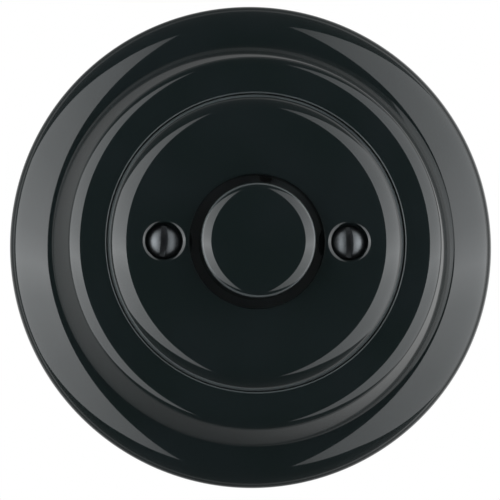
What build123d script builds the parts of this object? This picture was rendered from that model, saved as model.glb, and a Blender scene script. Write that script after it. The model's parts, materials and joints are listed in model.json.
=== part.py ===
from build123d import *
import math
import os

# Porcelain rotary dimmer for a round flush box, in millimetres.
# The wall is the plane y = 0. The front faces -Y, +X is right and +Z is up.
# A height is measured from the wall towards the room, a negative one goes into the wall.

# Porcelain frame: foot, sloping band, cove, raised ring and the opening for the cover
frame_radius = 50.0
frame_foot_edge = 1.2
rim_pull = 2.0
band_height = 6.5
band_slope = 12.0
band_pull = 3.8
cove_width = 3.15
cove_slope = 56.0
cove_pull = 1.6
step_radius = 38.4
step_height = 11.9
step_slope = 61.0
ring_radius = 34.8
ring_height = 13.5
ring_slope = 3.5
shoulder_pull = 0.7
shoulder_reach = 1.75
foot_width = 6.5
ledge_width = 3.2
ledge_height = 9.4
ledge_thickness = 3.0
lip_radius = 0.3

# Porcelain cover plate, a little smaller than the opening of the frame
cover_radius = 30.5
cover_joint = 0.15
cover_height = 16.2
cover_wall = 4.4
cover_skirt = 4.0
cover_edge_height = 13.0
cover_edge_radius = 0.6
cover_edge_slope = 54.0
cover_edge_pull = 2.0
cover_shoulder = 5.15
cover_face_pull = 1.95
knob_hole_radius = 13.8
hole_lip = 0.35

# Cover screws, their wells and the posts that they screw into
screw_spacing = 38.0
screw_head_radius = 3.4
screw_head_height = 2.0
screw_head_edge = 0.5
screw_shank_radius = 1.7
screw_point = 0.5
screw_length = 9.5
screw_hole_clearance = 0.25
thread_clearance = 0.04
slot_width = 1.3
slot_depth = 1.0
slot_leans = (-4.0, 1.5)
well_clearance = 0.45
well_lip = 1.0
well_lip_slope = 38.0
well_depth = 2.2
well_boss_radius = 6.0
well_boss_drop = 1.4
post_radius = 3.2
post_gap = 0.3
post_rivet_radius = 2.6

# Knob, its bush and the grip ring
knob_radius = 11.7
knob_height = 21.5
knob_edge_height = 19.6
knob_edge_radius = 0.6
knob_edge_slope = 55.0
knob_edge_pull = 0.45
knob_face_radius = 8.9
knob_face_height = 21.2
knob_face_slope = 7.0
knob_face_pull = 1.3
knob_dome_pull = 2.4
knob_foot_height = 11.6
knob_wall = 2.4
knob_crown = 3.4
knob_boss_radius = 6.6
cement_gap = 0.05
bush_radius = 4.6
bush_top_height = 17.9
bush_foot_height = 10.2
bush_slit = 0.8
bush_slit_depth = 3.5
grip_wire = 0.45
grip_gap_angle = 50.0

# Support plate with its slots for the box screws
plate_thickness = 1.2
plate_edge = 1.5
plate_margin = 1.0
box_screw_spacing = 60.0
box_slot_length = 8.0
box_slot_width = 4.0

# Control shaft, its clip and how far the knob moves
shaft_radius = 3.0
shaft_flat = 2.2
shaft_front_height = 17.6
shaft_flat_height = 8.5
shaft_tail = 0.6
running_clearance = 0.05
knob_travel = 1.8
knob_turn = 300.0
clip_thickness = 0.5
clip_radius = 4.3
clip_groove_radius = 2.4

# Potentiometer
neck_radius = 5.0
neck_height = 5.2
pot_radius = 8.5
pot_depth = 9.0
pot_wall = 1.2
rotor_radius = 6.6
rotor_thickness = 2.0
rotor_gap = 0.5
rotor_hub = 1.0
stop_clearance = 0.1
stop_margin = 1.0
tab_angle = 24.0
wafer_thickness = 0.8
wafer_clearance = 0.4
track_thickness = 0.15
track_angle = 310.0
track_inner_radius = 4.8
track_outer_radius = 6.4
wiper_thickness = 0.25
wiper_angle = 14.0
contact_gap = 0.1
nut_across_flats = 14.0
nut_thickness = 2.0
nut_chamfer = 0.4
washer_thickness = 0.6
washer_radius = 7.6
washer_tooth = 0.7
washer_teeth = 16

# Shells of the insert, their screws and the circuit board
shell_radius = 25.5
shell_wall = 1.8
shell_depth = 27.0
shell_screw_inset = 8.0
shell_screw_z = 12.5
shell_screw_radius = 1.5
shell_screw_head_radius = 2.8
shell_screw_head_height = 1.8
shell_boss_radius = 3.1
shell_bore_clearance = 0.1
board_thickness = 1.6
board_clearance = 0.2
board_recess = 0.9
board_hole_clearance = 0.5
vent_length = 7.0
vent_width = 1.6
vent_pitch = 4.0
vent_count = 5
vent_z = 6.0

# Push switch
switch_size = 12.0
switch_depth = 11.6
switch_wall = 1.0
plunger_radius = 3.2
plunger_flange_radius = 4.4
plunger_flange = 1.0
plunger_spigot_radius = 2.2
plunger_spigot = 4.0
bridge_thickness = 0.4
spring_wire = 0.3
spring_radius = 3.2
spring_turns = 6
contact_width = 1.6
contact_thickness = 0.4
contact_overlap = 0.6
contact_opening = 0.2

# Triac under the support plate
triac_body = (9.2, 10.0, 4.4)
triac_tab = (6.5, 10.0, 1.3)
triac_place = (-4.9, 14.7)
triac_lead_reach = 2.2
pad_thickness = 0.3
pad_margin = 0.2
window_margin = 0.3
triac_screw_radius = 1.5
triac_screw_head_radius = 2.7
triac_screw_head_height = 1.8
lead_pitch = 2.54

# Parts on the back of the board
choke_core_radius = 3.0
choke_wire = 0.9
choke_turns = 15
choke_inset = 10.9
choke_foot_gap = 1.2
choke_head_gap = 1.4
winding_space = 0.08
film_capacitor_size = (6.0, 13.0, 11.0)
film_inset = 10.5
film_z = 1.0
film_lead_pitch = 10.0
capacitor_edge = 0.5
fuse_radius = 2.6
fuse_length = 20.0
fuse_cap_length = 4.5
fuse_wall = 0.4
fuse_edge_space = 4.0
fuse_lift = 1.2
fuse_clip_width = 3.6
fuse_clip_sheet = 0.4
fuse_clip_angle = 250.0

# Parts on the front of the board
resistor_radius = 1.2
resistor_length = 6.4
resistor_lead_span = 11.0
resistor_inset = 13.1
resistor_rise = 11.2
small_capacitor_size = (7.2, 3.0, 6.0)
small_inset = 10.5
front_row_rise = 1.7
small_lead_pitch = 5.0
diode_radius = 0.9
diode_length = 4.0
diode_lead_span = 7.0
diode_inset = 10.9
wire_radius = 0.3
wire_lift = 0.3

# Terminals
terminal_pitch = 7.4
terminal_count = 3
block_end = 0.4
block_margin = 0.1
block_height = 9.4
block_wall = 1.2
clamp_size = 5.6
clamp_length = 8.0
clamp_inset = 2.0
cell_clearance = 0.2
clamp_wire_radius = 2.1
wire_entry_radius = 2.0
tail_radius = 0.5
terminal_screw_radius = 1.5
terminal_screw_head_radius = 2.4
terminal_screw_head_height = 1.6
terminal_screw_recess = 0.4
driver_hole_radius = 2.7

# Places in front of the wall that follow from the sizes above
section = Plane(origin=(0, 0, 0), x_dir=(1, 0, 0), z_dir=(0, 0, -1))
plate_radius = box_screw_spacing / 2 + box_slot_length / 2 + plate_edge
opening_radius = cover_radius + cover_joint
well_radius = screw_head_radius + well_clearance
well_floor_height = cover_height - well_depth
cover_underside = cover_height - cover_wall
well_boss_height = cover_underside - well_boss_drop
post_height = well_boss_height - post_gap
well_curve = well_lip / math.sin(math.radians(well_lip_slope))
well_lip_drop = well_curve - well_lip / math.tan(math.radians(well_lip_slope))
screw_sides = (-screw_spacing / 2, screw_spacing / 2)

# Places in the potentiometer
clip_back = -pot_wall - running_clearance - clip_thickness
rotor_front = clip_back - knob_travel - rotor_gap
rotor_back = rotor_front - rotor_thickness
wafer_front = wafer_thickness - pot_depth
wiper_tip = wafer_front + track_thickness + contact_gap
shaft_back = -pot_depth - shaft_tail
stop_middle = -90.0
stop_angle = 360.0 - knob_turn - tab_angle - 2 * stop_margin
tab_middle = stop_middle - stop_angle / 2 - stop_margin - tab_angle / 2

# Places on the board and behind it
board_front = -pot_depth
board_back = board_front - board_thickness
shell_inner_back = shell_wall - shell_depth
shell_head_seat = shell_screw_head_height - shell_depth
switch_back = board_back - switch_depth
flange_front = board_back - switch_wall - running_clearance
bridge_back = flange_front - plunger_flange - bridge_thickness
contact_back = bridge_back - knob_travel - contact_opening - contact_thickness
contact_x = switch_size / 2 - switch_wall - contact_thickness / 2
contact_reach = contact_x + contact_thickness / 2 - plunger_flange_radius + contact_overlap
contact_pad_x = contact_x + contact_thickness / 2 - contact_reach / 2
film_x = film_inset - shell_radius
small_x = shell_radius - small_inset
diode_x = diode_inset - shell_radius
choke_x = shell_radius - choke_inset
resistor_places_x = (resistor_inset - shell_radius, shell_radius - resistor_inset)
fuse_clip_x = fuse_length / 2 - fuse_cap_length / 2
shell_screw_x = shell_radius - shell_screw_inset
triac_lead_x = triac_place[0] - triac_body[0] / 2 - triac_lead_reach + wire_radius
triac_lead_depth = -pad_thickness - triac_body[2] / 2
pad_width = triac_body[1] + 2 * pad_margin

# Places in the terminals
terminal_places = [(step - (terminal_count - 1) / 2) * terminal_pitch for step in range(terminal_count)]
block_size_x = terminal_count * terminal_pitch + 2 * block_end
block_corner_radius = shell_radius - shell_wall - block_margin
block_bottom_z = -math.sqrt(block_corner_radius**2 - (block_size_x / 2) ** 2)
block_top_z = block_bottom_z + block_height
shell_half_height = shell_wall + block_margin - block_bottom_z
small_z = block_top_z + front_row_rise
diode_z = block_top_z + front_row_rise
resistor_z = block_top_z + resistor_rise
fuse_z = -block_bottom_z - fuse_edge_space
choke_foot_z = block_top_z + choke_foot_gap
choke_head_z = shell_screw_z - shell_boss_radius - choke_head_gap
choke_core_length = choke_head_z - choke_foot_z
choke_z = (choke_head_z + choke_foot_z) / 2
choke_lead_span = choke_core_length - 2 * wire_radius
block_middle_z = (block_top_z + block_bottom_z) / 2
wire_z = block_top_z - block_wall - clamp_size / 2
clamp_bottom_z = wire_z - clamp_size / 2
clamp_front = shell_inner_back + clamp_inset + clamp_length
clamp_middle = clamp_front - clamp_length / 2
tail_z = wire_z + (clamp_size / 2 + clamp_wire_radius) / 2
terminal_head_z = -shell_half_height + terminal_screw_recess
terminal_screw_length = wire_z - clamp_wire_radius - terminal_head_z - terminal_screw_head_height


def front_plane(height):
    """A plane parallel to the wall, seen from the room: local x is right and local y is up."""
    return Plane.XZ.offset(height)


def uphill(point, degrees, reach):
    """The point that lies a reach further inward along a slope that climbs to the centre."""
    angle = math.radians(degrees)
    return (point[0] - reach * math.cos(angle), point[1] + reach * math.sin(angle))


def ring_sector(inner, outer, middle, size):
    """A piece of a flat ring, centred on an angle."""
    with BuildSketch() as sector:
        with BuildLine():
            inside = CenterArc((0, 0), inner, middle - size / 2, size)
            outside = CenterArc((0, 0), outer, middle - size / 2, size)
            Line(inside @ 0, outside @ 0)
            Line(inside @ 1, outside @ 1)
        make_face()
    return sector.sketch


def d_outline(radius, flat):
    """A round outline with one flat on its upper side."""
    with BuildSketch() as outline:
        Circle(radius)
        with Locations((0, flat)):
            Rectangle(2 * radius, radius + flat, align=(Align.CENTER, Align.MAX), mode=Mode.INTERSECT)
    return outline.sketch


def shell_outline(inset):
    """The outline of the insert: a circle cut flat above and below."""
    with BuildSketch() as outline:
        Circle(shell_radius - inset)
        Rectangle(2 * shell_radius, 2 * (shell_half_height - inset), mode=Mode.INTERSECT)
    return outline.sketch


def bent_wire(points, radius):
    """A round wire along a line of points, with a small bend at each corner."""
    with BuildPart() as wire:
        with BuildLine():
            path = FilletPolyline(*points, radius=2 * radius)
        with BuildSketch(path ^ 0):
            Circle(radius)
        sweep()
    return wire.part


os.makedirs("parts", exist_ok=True)

# Outer frame: one porcelain ring, hollow behind, with a ledge that the cover presses on
step_edge = (step_radius, step_height)
band_end = (step_radius + cove_width, band_height)
ring_edge = (ring_radius, ring_height)
lip_reach = ring_radius - opening_radius - lip_radius
lip_top = (opening_radius + lip_radius, ring_height + lip_reach * math.tan(math.radians(ring_slope)))
lip_centre = (lip_top[0], lip_top[1] - lip_radius)
with BuildPart() as outer_frame:
    with BuildSketch(section):
        with BuildLine():
            Line((frame_radius, 0), (frame_radius, frame_foot_edge))
            Bezier(
                (frame_radius, frame_foot_edge),
                (frame_radius, frame_foot_edge + rim_pull),
                uphill(band_end, band_slope, -band_pull),
                band_end,
            )
            Bezier(
                band_end,
                uphill(band_end, cove_slope, cove_pull),
                uphill(step_edge, step_slope, -cove_pull),
                step_edge,
            )
            Bezier(
                step_edge,
                uphill(step_edge, step_slope, shoulder_pull),
                uphill(ring_edge, ring_slope, -shoulder_reach),
                ring_edge,
            )
            Line(ring_edge, lip_top)
            CenterArc(lip_centre, lip_radius, 90, 90)
            Polyline(
                (opening_radius, lip_top[1] - lip_radius),
                (opening_radius, ledge_height),
                (opening_radius - ledge_width, ledge_height),
                (opening_radius - ledge_width, ledge_height - ledge_thickness),
                (plate_radius + plate_margin, ledge_height - ledge_thickness),
                (frame_radius - foot_width, 0),
                (frame_radius, 0),
            )
        make_face()
    revolve(axis=Axis.Y)
outer_frame.part.label = "outer_frame"
export_step(outer_frame.part, "parts/outer_frame.step")

# Cover plate: a porcelain disc with a skirt, a hole for the knob and two screw wells
lip_corner = (knob_hole_radius + hole_lip, cover_height - hole_lip)
cover_edge_centre = (cover_radius - cover_edge_radius, cover_edge_height)
with BuildPart() as cover_plate:
    with BuildSketch(section):
        with BuildLine():
            Polyline(
                (knob_hole_radius, cover_height - hole_lip),
                (knob_hole_radius, cover_underside),
                (cover_radius - cover_skirt, cover_underside),
                (cover_radius - cover_skirt, ledge_height),
                (cover_radius, ledge_height),
                (cover_radius, cover_edge_height),
            )
            edge = CenterArc(cover_edge_centre, cover_edge_radius, 0, 90 - cover_edge_slope)
            Bezier(
                edge @ 1,
                uphill(tuple(edge @ 1), cover_edge_slope, cover_edge_pull),
                (cover_radius - cover_shoulder + cover_face_pull, cover_height),
                (cover_radius - cover_shoulder, cover_height),
            )
            Line((cover_radius - cover_shoulder, cover_height), (knob_hole_radius + hole_lip, cover_height))
            CenterArc(lip_corner, hole_lip, 90, 90)
        make_face()
    revolve(axis=Axis.Y)
    with BuildSketch(front_plane(well_boss_height)):
        with Locations(*[(x, 0) for x in screw_sides]):
            Circle(well_boss_radius)
    extrude(amount=well_boss_drop)
    with BuildSketch(front_plane(well_floor_height)):
        with Locations(*[(x, 0) for x in screw_sides]):
            Circle(screw_shank_radius + screw_hole_clearance)
    extrude(amount=-(well_floor_height - well_boss_height), mode=Mode.SUBTRACT)
    for x in screw_sides:
        with BuildSketch(Plane(origin=(x, 0, 0), x_dir=(1, 0, 0), z_dir=(0, 0, -1))):
            with BuildLine():
                Polyline(
                    (0, cover_height + well_lip),
                    (0, well_floor_height),
                    (well_radius, well_floor_height),
                    (well_radius, cover_height - well_lip_drop),
                )
                CenterArc((well_radius + well_lip, cover_height - well_curve), well_curve, 90, well_lip_slope)
                Polyline(
                    (well_radius + well_lip, cover_height),
                    (well_radius + well_lip, cover_height + well_lip),
                    (0, cover_height + well_lip),
                )
            make_face()
        revolve(axis=Axis((x, 0, 0), (0, 1, 0)), mode=Mode.SUBTRACT)
cover_plate.part.label = "cover_plate"
export_step(cover_plate.part, "parts/cover_plate.step")

# Cover screws: two pan heads with a slot, their tops about level with the cover
head_top_height = well_floor_height + screw_head_height
dome_rise = screw_head_height - screw_head_edge
dome_radius = (screw_head_radius**2 + dome_rise**2) / (2 * dome_rise)
dome_middle = math.sqrt(dome_radius**2 - (screw_head_radius / 2) ** 2) - dome_radius
with BuildPart() as cover_screws:
    for x, lean in zip(screw_sides, slot_leans):
        with BuildSketch(Plane(origin=(x, 0, 0), x_dir=(1, 0, 0), z_dir=(0, 0, -1))):
            with BuildLine():
                ThreePointArc(
                    (screw_head_radius, well_floor_height + screw_head_edge),
                    (screw_head_radius / 2, head_top_height + dome_middle),
                    (0, head_top_height),
                )
                Polyline(
                    (0, head_top_height),
                    (0, well_floor_height - screw_length),
                    (screw_shank_radius - screw_point, well_floor_height - screw_length),
                    (screw_shank_radius, well_floor_height - screw_length + screw_point),
                    (screw_shank_radius, well_floor_height),
                    (screw_head_radius, well_floor_height),
                    (screw_head_radius, well_floor_height + screw_head_edge),
                )
            make_face()
        revolve(axis=Axis((x, 0, 0), (0, 1, 0)))
        with BuildSketch(front_plane(head_top_height)):
            with Locations((x, 0)):
                Rectangle(slot_width, 3 * screw_head_radius, rotation=lean)
        extrude(amount=-slot_depth, mode=Mode.SUBTRACT)
cover_screws.part.label = "cover_screws"
export_step(cover_screws.part, "parts/cover_screws.step")

# Knob: a porcelain cap, hollow behind, with a boss for its bush
knob_edge_centre = (knob_radius - knob_edge_radius, knob_edge_height)
knob_top_edge = (knob_face_radius, knob_face_height)
knob_hollow_height = knob_height - knob_crown
socket_radius = bush_radius + cement_gap
with BuildPart() as knob:
    with BuildSketch(section):
        with BuildLine():
            edge = CenterArc(knob_edge_centre, knob_edge_radius, 0, 90 - knob_edge_slope)
            Bezier(
                edge @ 1,
                uphill(tuple(edge @ 1), knob_edge_slope, knob_edge_pull),
                uphill(knob_top_edge, knob_face_slope, -knob_face_pull),
                knob_top_edge,
            )
            Bezier(
                knob_top_edge,
                uphill(knob_top_edge, knob_face_slope, knob_dome_pull),
                (knob_dome_pull, knob_height),
                (0, knob_height),
            )
            Polyline(
                (0, knob_height),
                (0, bush_top_height + cement_gap),
                (socket_radius, bush_top_height + cement_gap),
                (socket_radius, knob_foot_height),
                (knob_boss_radius, knob_foot_height),
                (knob_boss_radius, knob_hollow_height),
                (knob_radius - knob_wall, knob_hollow_height),
                (knob_radius - knob_wall, knob_foot_height),
                (knob_radius, knob_foot_height),
                (knob_radius, knob_edge_height),
            )
        make_face()
    revolve(axis=Axis.Y)
knob.part.label = "knob"
export_step(knob.part, "parts/knob.step")

# Knob bush: brass, cemented into the knob, slit at its foot so that a ring can squeeze it
grip_height = (bush_foot_height + knob_foot_height) / 2
with BuildPart() as knob_bush:
    with BuildSketch(front_plane(bush_foot_height)):
        Circle(bush_radius)
        add(d_outline(shaft_radius + running_clearance, shaft_flat + running_clearance), mode=Mode.SUBTRACT)
    extrude(amount=bush_top_height - bush_foot_height)
    with BuildSketch(front_plane(grip_height - grip_wire)):
        Circle(bush_radius)
        Circle(bush_radius - grip_wire / 2, mode=Mode.SUBTRACT)
    extrude(amount=2 * grip_wire, mode=Mode.SUBTRACT)
    with BuildSketch(front_plane(bush_foot_height)):
        Rectangle(bush_slit, 3 * bush_radius)
        Rectangle(3 * bush_radius, bush_slit)
    extrude(amount=bush_slit_depth, mode=Mode.SUBTRACT)
knob_bush.part.label = "knob_bush"
export_step(knob_bush.part, "parts/knob_bush.step")

# Grip ring: an open ring of spring wire in the groove of the bush
with BuildPart() as grip_ring:
    with BuildSketch(section):
        with Locations((bush_radius, grip_height)):
            Circle(grip_wire / 2)
    revolve(axis=Axis.Y, revolution_arc=360 - grip_gap_angle)
grip_ring.part.label = "grip_ring"
export_step(grip_ring.part, "parts/grip_ring.step")

# Support plate: a steel disc that the box screws hold against the wall
triac_x, triac_z = triac_place
triac_hole_x = triac_x + triac_body[0] / 2 + triac_tab[0] / 2
with BuildPart() as support_plate:
    with BuildSketch(front_plane(0)):
        Circle(plate_radius)
        Circle(neck_radius + running_clearance, mode=Mode.SUBTRACT)
        with Locations((-box_screw_spacing / 2, 0), (box_screw_spacing / 2, 0)):
            SlotOverall(box_slot_length, box_slot_width, mode=Mode.SUBTRACT)
        with Locations(*[(x, 0) for x in screw_sides]):
            Circle(post_rivet_radius, mode=Mode.SUBTRACT)
        with Locations((-shell_screw_x, shell_screw_z), (shell_screw_x, shell_screw_z)):
            Circle(shell_screw_radius + thread_clearance, mode=Mode.SUBTRACT)
        with Locations((triac_hole_x, triac_z)):
            Circle(triac_screw_radius + thread_clearance, mode=Mode.SUBTRACT)
    extrude(amount=plate_thickness)
support_plate.part.label = "support_plate"
export_step(support_plate.part, "parts/support_plate.step")

# Cover posts: two brass posts riveted into the plate, threaded for the cover screws
with BuildPart() as cover_posts:
    with BuildSketch(front_plane(0)):
        with Locations(*[(x, 0) for x in screw_sides]):
            Circle(post_rivet_radius)
    extrude(amount=plate_thickness)
    with BuildSketch(front_plane(plate_thickness)):
        with Locations(*[(x, 0) for x in screw_sides]):
            Circle(post_radius)
    extrude(amount=post_height - plate_thickness)
    with BuildSketch(front_plane(0)):
        with Locations(*[(x, 0) for x in screw_sides]):
            Circle(screw_shank_radius + thread_clearance)
    extrude(amount=post_height, mode=Mode.SUBTRACT)
cover_posts.part.label = "cover_posts"
export_step(cover_posts.part, "parts/cover_posts.step")

# Potentiometer housing: a cup with a threaded neck through the plate and a stop inside
with BuildPart() as pot_housing:
    with BuildSketch(front_plane(0)):
        Circle(pot_radius)
    extrude(amount=-pot_depth)
    with BuildSketch(front_plane(-pot_wall)):
        Circle(pot_radius - pot_wall)
    extrude(amount=pot_wall - pot_depth, mode=Mode.SUBTRACT)
    with BuildSketch(front_plane(0)):
        Circle(neck_radius)
    extrude(amount=neck_height)
    with BuildSketch(front_plane(-pot_wall)):
        add(ring_sector(rotor_radius + stop_clearance, pot_radius - pot_wall, stop_middle, stop_angle))
    extrude(amount=rotor_back + pot_wall)
    with BuildSketch(front_plane(-pot_wall)):
        Circle(shaft_radius + running_clearance)
    extrude(amount=pot_wall + neck_height, mode=Mode.SUBTRACT)
pot_housing.part.label = "pot_housing"
export_step(pot_housing.part, "parts/pot_housing.step")

# Lock washer and nut: they clamp the neck to the plate
with BuildPart() as lock_washer:
    with BuildSketch(front_plane(plate_thickness)):
        Circle(washer_radius - washer_tooth)
        with PolarLocations(washer_radius - washer_tooth, washer_teeth):
            Rectangle(2 * washer_tooth, washer_tooth)
        Circle(neck_radius + running_clearance, mode=Mode.SUBTRACT)
    extrude(amount=washer_thickness)
lock_washer.part.label = "lock_washer"
export_step(lock_washer.part, "parts/lock_washer.step")

with BuildPart() as pot_nut:
    with BuildSketch(front_plane(plate_thickness + washer_thickness)):
        RegularPolygon(nut_across_flats / 2, 6, major_radius=False)
        Circle(neck_radius + running_clearance, mode=Mode.SUBTRACT)
    extrude(amount=nut_thickness)
    chamfer(pot_nut.faces().sort_by(Axis.Y)[0].outer_wire().edges(), nut_chamfer)
pot_nut.part.label = "pot_nut"
export_step(pot_nut.part, "parts/pot_nut.step")

# Wafer and track: the paper board that closes the cup, with the printed resistance on it
with BuildPart() as pot_wafer:
    with BuildSketch(front_plane(-pot_depth)):
        Circle(pot_radius - pot_wall)
        Circle(shaft_radius + wafer_clearance, mode=Mode.SUBTRACT)
    extrude(amount=wafer_thickness)
pot_wafer.part.label = "pot_wafer"
export_step(pot_wafer.part, "parts/pot_wafer.step")

with BuildPart() as pot_track:
    with BuildSketch(front_plane(wafer_front)):
        add(ring_sector(track_inner_radius, track_outer_radius, stop_middle + 180, track_angle))
    extrude(amount=track_thickness)
pot_track.part.label = "pot_track"
export_step(pot_track.part, "parts/pot_track.step")

# Rotor: turned by the flat of the shaft, with a tab that meets the stop at both ends
with BuildPart() as pot_rotor:
    with BuildSketch(front_plane(rotor_front)):
        Circle(rotor_radius)
        tab_reach = pot_radius - pot_wall - stop_clearance
        add(ring_sector(shaft_radius + rotor_hub, tab_reach, tab_middle, tab_angle))
        add(d_outline(shaft_radius + running_clearance, shaft_flat + running_clearance), mode=Mode.SUBTRACT)
    extrude(amount=-rotor_thickness)
pot_rotor.part.label = "pot_rotor"
export_step(pot_rotor.part, "parts/pot_rotor.step")

# Wiper: a bronze ring on the rotor's back, with an arm bent down to the track
with BuildPart() as wiper:
    with BuildSketch(front_plane(rotor_back)):
        Circle(track_outer_radius)
        Circle(shaft_radius + wafer_clearance, mode=Mode.SUBTRACT)
    extrude(amount=-wiper_thickness)
    with BuildSketch(front_plane(rotor_back - wiper_thickness)):
        add(ring_sector(track_inner_radius, track_outer_radius, tab_middle, wiper_angle))
    extrude(amount=wiper_tip - rotor_back + wiper_thickness)
wiper.part.label = "wiper"
export_step(wiper.part, "parts/wiper.step")

# Control shaft: round in the neck, flat in the knob's bush and in the rotor, grooved for its clip
with BuildPart() as control_shaft:
    with BuildSketch(front_plane(shaft_back)):
        add(d_outline(shaft_radius, shaft_flat))
    extrude(amount=shaft_front_height - shaft_back)
    with BuildSketch(front_plane(clip_back - 2 * running_clearance)):
        Circle(shaft_radius)
    extrude(amount=shaft_flat_height - clip_back + 2 * running_clearance)
    with BuildSketch(front_plane(clip_back - running_clearance)):
        Circle(shaft_radius)
        Circle(clip_groove_radius, mode=Mode.SUBTRACT)
    extrude(amount=clip_thickness + 2 * running_clearance, mode=Mode.SUBTRACT)
control_shaft.part.label = "control_shaft"
export_step(control_shaft.part, "parts/control_shaft.step")

# Shaft clip: a slotted spring washer in the groove, which stops the shaft against the cup
with BuildPart() as shaft_clip:
    with BuildSketch(front_plane(clip_back)):
        Circle(clip_radius)
        Circle(clip_groove_radius + running_clearance, mode=Mode.SUBTRACT)
        with Locations((0, -clip_radius)):
            Rectangle(2 * clip_groove_radius, 2 * clip_radius - clip_groove_radius, mode=Mode.SUBTRACT)
    extrude(amount=clip_thickness)
shaft_clip.part.label = "shaft_clip"
export_step(shaft_clip.part, "parts/shaft_clip.step")

# Front shell of the insert: it lies on the back of the plate and holds the board's edge
window_left = triac_x - triac_body[0] / 2 - triac_lead_reach - window_margin
window_right = triac_x + triac_body[0] / 2 + triac_tab[0] + window_margin
with BuildPart() as front_shell:
    with BuildSketch(front_plane(0)):
        add(shell_outline(0))
    extrude(amount=-pot_depth)
    with BuildSketch(front_plane(-shell_wall)):
        add(shell_outline(shell_wall))
    extrude(amount=shell_wall - pot_depth, mode=Mode.SUBTRACT)
    with BuildSketch(front_plane(-shell_wall)):
        with Locations((-shell_screw_x, shell_screw_z), (shell_screw_x, shell_screw_z)):
            Circle(shell_boss_radius)
    extrude(amount=shell_wall - pot_depth)
    with BuildSketch(front_plane(0)):
        Circle(pot_radius + running_clearance)
        with Locations(((window_left + window_right) / 2, triac_z)):
            Rectangle(window_right - window_left, pad_width + 2 * window_margin)
    extrude(amount=-shell_wall, mode=Mode.SUBTRACT)
    with BuildSketch(front_plane(0)):
        with Locations((-shell_screw_x, shell_screw_z), (shell_screw_x, shell_screw_z)):
            Circle(shell_screw_radius + shell_bore_clearance)
    extrude(amount=-pot_depth, mode=Mode.SUBTRACT)
front_shell.part.label = "front_shell"
export_step(front_shell.part, "parts/front_shell.step")

# Rear shell: entries for the wires behind, holes for a screwdriver below, air slots above
with BuildPart() as rear_shell:
    with BuildSketch(front_plane(board_front)):
        add(shell_outline(0))
    extrude(amount=pot_depth - shell_depth)
    with BuildSketch(front_plane(board_front)):
        add(shell_outline(board_recess))
    extrude(amount=-board_thickness, mode=Mode.SUBTRACT)
    with BuildSketch(front_plane(board_back)):
        add(shell_outline(shell_wall))
    extrude(amount=shell_inner_back - board_back, mode=Mode.SUBTRACT)
    with BuildSketch(front_plane(board_back)):
        with Locations((-shell_screw_x, shell_screw_z), (shell_screw_x, shell_screw_z)):
            Circle(shell_boss_radius)
    extrude(amount=shell_inner_back - board_back)
    with BuildSketch(front_plane(board_back)):
        with Locations((-shell_screw_x, shell_screw_z), (shell_screw_x, shell_screw_z)):
            Circle(shell_screw_radius + shell_bore_clearance)
    extrude(amount=shell_head_seat - board_back, mode=Mode.SUBTRACT)
    with BuildSketch(front_plane(-shell_depth)):
        with Locations((-shell_screw_x, shell_screw_z), (shell_screw_x, shell_screw_z)):
            Circle(shell_screw_head_radius + shell_bore_clearance)
    extrude(amount=shell_screw_head_height, mode=Mode.SUBTRACT)
    with BuildSketch(front_plane(-shell_depth)):
        with Locations(*[(x, wire_z) for x in terminal_places]):
            Circle(wire_entry_radius)
        with GridLocations(vent_pitch, 0, vent_count, 1):
            with Locations((0, vent_z)):
                SlotOverall(vent_length, vent_width, rotation=90)
    extrude(amount=shell_wall, mode=Mode.SUBTRACT)
    with BuildSketch(Plane.XY.offset(-shell_half_height)):
        with Locations(*[(x, -clamp_middle) for x in terminal_places]):
            Circle(driver_hole_radius)
    extrude(amount=shell_wall, mode=Mode.SUBTRACT)
rear_shell.part.label = "rear_shell"
export_step(rear_shell.part, "parts/rear_shell.step")

# Shell screws: two long ones from behind, through both shells into the plate
with BuildPart() as shell_screws:
    with BuildSketch(front_plane(-shell_depth)):
        with Locations((-shell_screw_x, shell_screw_z), (shell_screw_x, shell_screw_z)):
            Circle(shell_screw_head_radius)
    extrude(amount=shell_screw_head_height)
    with BuildSketch(front_plane(shell_head_seat)):
        with Locations((-shell_screw_x, shell_screw_z), (shell_screw_x, shell_screw_z)):
            Circle(shell_screw_radius)
    extrude(amount=plate_thickness - shell_head_seat)
    with BuildSketch(front_plane(-shell_depth)):
        with Locations((-shell_screw_x, shell_screw_z), (shell_screw_x, shell_screw_z)):
            Rectangle(slot_width, 3 * shell_screw_head_radius)
    extrude(amount=slot_depth, mode=Mode.SUBTRACT)
shell_screws.part.label = "shell_screws"
export_step(shell_screws.part, "parts/shell_screws.step")

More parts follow.
